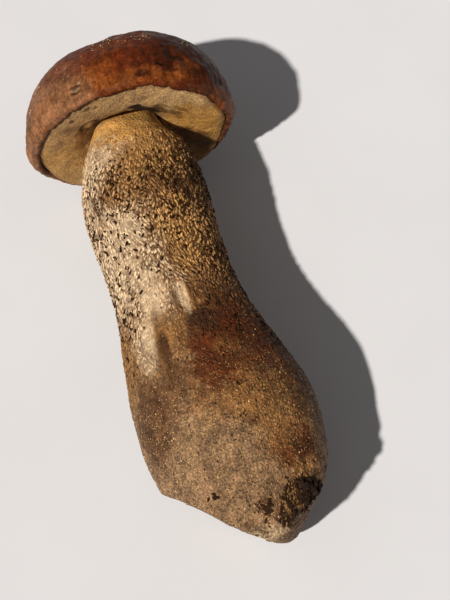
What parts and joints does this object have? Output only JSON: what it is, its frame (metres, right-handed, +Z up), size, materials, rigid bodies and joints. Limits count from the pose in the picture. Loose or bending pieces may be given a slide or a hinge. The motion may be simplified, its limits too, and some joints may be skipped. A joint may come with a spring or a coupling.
{
  "type": "orange bolete",
  "caption": "Picked orange bolete lying on its side: domed red-brown cap, cream pore face, and a thick stem with raised scabers that swells into a soil-stained torn base.",
  "frame": {"origin": "on the surface the bolete lies on, under the middle of its box", "axes": "+Y along the stem from the torn base to the crown of the cap, +Z up from the surface"},
  "size_m": [0.0633, 0.164, 0.0617],
  "materials": {
    "cap_skin": "moist red-brown skin with a soft gloss",
    "pores": "matte cream to ochre pore mouths",
    "stem_flesh": "matte cream and brown flesh with dark raised scabers",
    "soil": "damp crumbly forest soil"
  },
  "bodies": {
    "root": {"cap": "cap_skin", "pore_layer": "pores", "stem": "stem_flesh", "soil_clod": "soil"}
  },
  "joints": []
}
